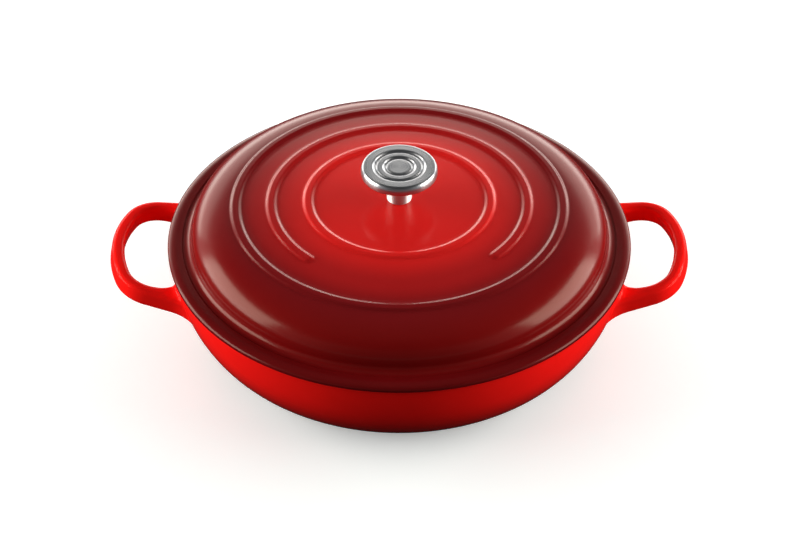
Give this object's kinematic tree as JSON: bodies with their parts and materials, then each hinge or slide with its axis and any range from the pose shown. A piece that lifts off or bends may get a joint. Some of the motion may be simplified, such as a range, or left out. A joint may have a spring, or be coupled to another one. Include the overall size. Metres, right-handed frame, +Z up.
{
  "type": "braiser",
  "caption": "Round shallow lidded pan with loop handles at both sides, a domed lid with raised rings and a steel disc knob on a short stem.",
  "frame": {"origin": "centre of the base, on the surface that the pot stands on", "axes": "+Z up, +X along the line through both handles, -Y towards the side that the picture shows in front"},
  "size_m": [0.3858, 0.3072, 0.1226],
  "materials": {
    "enamel_pot": "glossy red vitreous enamel outside, cream enamel inside, dull black rim",
    "enamel_lid": "glossy red vitreous enamel outside, cream enamel underneath, dull black seat",
    "knob_steel": "turned and spin-brushed stainless steel",
    "screw_steel": "plain stainless steel"
  },
  "bodies": {
    "pot": {"pot": "enamel_pot"},
    "lid": {"lid": "enamel_lid", "knob": "knob_steel", "knob_screw": "screw_steel", "washer": "screw_steel"}
  },
  "joints": [
    {"name": "lid_lift", "type": "slide", "parent": "pot", "child": "lid", "axis": [0, 0, 1], "range_m": [0, 0.12]}
  ]
}
